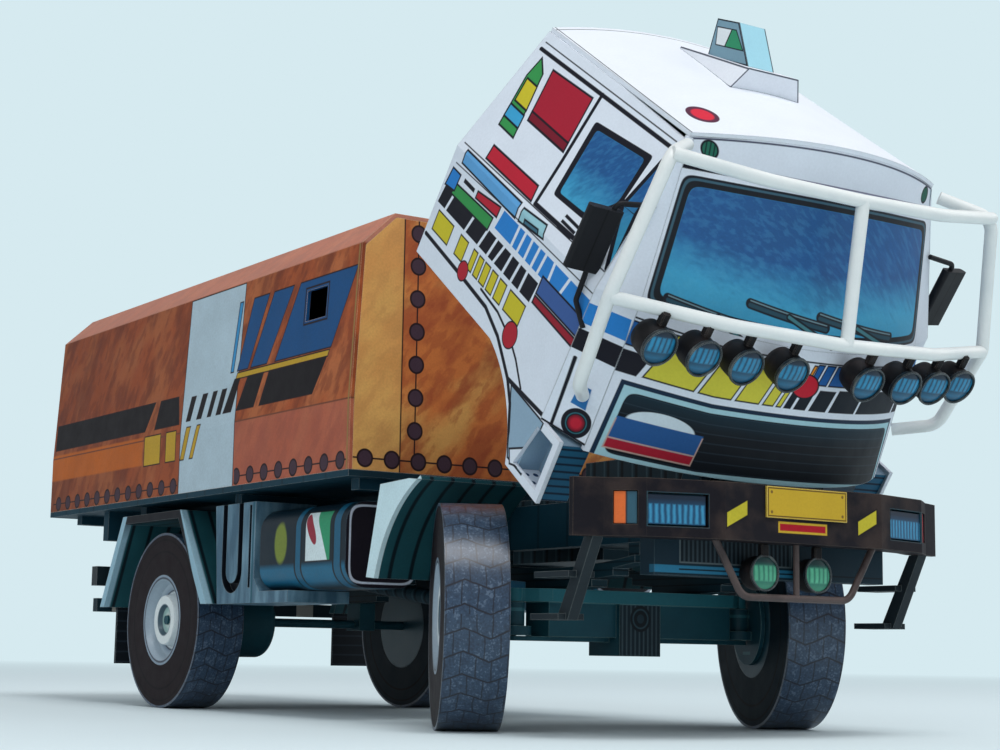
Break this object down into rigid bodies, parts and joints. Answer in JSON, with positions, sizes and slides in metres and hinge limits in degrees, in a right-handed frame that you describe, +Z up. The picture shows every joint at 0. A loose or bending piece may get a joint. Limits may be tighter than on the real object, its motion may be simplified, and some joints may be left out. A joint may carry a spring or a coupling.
{
  "type": "card model rally truck",
  "caption": "Card scale model of a four-wheel-drive desert rally truck with a tilting cab, steered front wheels, covered load body, bumper, bull bar and free-turning wheels.",
  "frame": {"origin": "centre of the bounding box at rest, on the floor that the wheels stand on", "axes": "+Z up, the truck faces -Y, its right side is towards -X and its left side towards +X"},
  "size_m": [0.0914, 0.2522, 0.1243],
  "materials": {
    "chassis_card": "matt printed card",
    "grey_card": "satin printed card",
    "cover_card": "matt printed card",
    "white_card": "satin printed card",
    "bumper_card": "satin printed card",
    "yellow_card": "satin printed card",
    "lens_card": "gloss printed card",
    "screen_card": "gloss printed card",
    "white_tube": "gloss",
    "lamp_card": "satin printed card",
    "tyre_card": "satin printed card",
    "rim_card": "satin printed card",
    "wire": "bare wire"
  },
  "bodies": {
    "chassis": {"bumper": "bumper_card", "bumper_steps": "bumper_card", "cab_hinge_brackets": "chassis_card", "cargo_cover": "cover_card", "cargo_floor": "chassis_card", "cargo_front_wall": "cover_card", "cargo_rear_wall": "cover_card", "cross_members": "chassis_card", "engine": "chassis_card", "fog_lamps": "lamp_card", "frame_rails": "chassis_card", "front_axle": "chassis_card", "front_mudguards": "grey_card", "fuel_tanks": "chassis_card", "headlamps": "lens_card", "lamp_guard": "bumper_card", "leaf_springs": "chassis_card", "mudflaps": "chassis_card", "number_plate": "yellow_card", "propeller_shaft": "chassis_card", "radiator": "chassis_card", "rear_axle": "chassis_card", "rear_lamps": "chassis_card", "rear_mudguards": "grey_card", "rear_underrun_bar": "chassis_card", "side_lockers": "grey_card"},
    "cab": {"bull_bar": "white_tube", "cab_corners": "white_card", "cab_floor": "grey_card", "cab_front_panel": "white_card", "cab_header": "white_card", "cab_rear_wall": "white_card", "cab_roof": "white_card", "cab_sides": "white_card", "cab_steps": "white_card", "mirrors": "lamp_card", "roof_scoop": "white_card", "spot_lamps": "lamp_card", "windscreen": "screen_card"},
    "wheel_front_right": {"rim_front_right": "rim_card", "tyre_front_right": "tyre_card"},
    "wheel_front_left": {"rim_front_left": "rim_card", "tyre_front_left": "tyre_card"},
    "wheel_rear_right": {"rim_rear_right": "rim_card", "tyre_rear_right": "tyre_card"},
    "wheel_rear_left": {"rim_rear_left": "rim_card", "tyre_rear_left": "tyre_card"},
    "knuckle_right": {"knuckle_right": "wire"},
    "knuckle_left": {"knuckle_left": "wire"}
  },
  "joints": [
    {"name": "cab_tilt", "type": "hinge", "parent": "chassis", "child": "cab", "pos_m": [0, -0.10293, 0.052], "axis": [1, 0, 0], "range_deg": [-38, 0]},
    {"name": "steer_right", "type": "hinge", "parent": "chassis", "child": "knuckle_right", "pos_m": [-0.0255, -0.06523, 0.0194], "axis": [0, 0, 1], "range_deg": [0, 56]},
    {"name": "steer_left", "type": "hinge", "parent": "chassis", "child": "knuckle_left", "pos_m": [0.0255, -0.06523, 0.0194], "axis": [0, 0, 1], "range_deg": [-7, 49]},
    {"name": "spin_front_right", "type": "hinge", "parent": "knuckle_right", "child": "wheel_front_right", "pos_m": [-0.03256, -0.06147, 0.0194], "axis": [0.8829, -0.4695, 0], "continuous": true},
    {"name": "spin_front_left", "type": "hinge", "parent": "knuckle_left", "child": "wheel_front_left", "pos_m": [0.03297, -0.0681, 0.0194], "axis": [0.9336, -0.3584, 0], "continuous": true},
    {"name": "spin_rear_right", "type": "hinge", "parent": "chassis", "child": "wheel_rear_right", "pos_m": [-0.0313, 0.05807, 0.0194], "axis": [1, 0, 0], "continuous": true},
    {"name": "spin_rear_left", "type": "hinge", "parent": "chassis", "child": "wheel_rear_left", "pos_m": [0.0313, 0.05807, 0.0194], "axis": [1, 0, 0], "continuous": true}
  ]
}
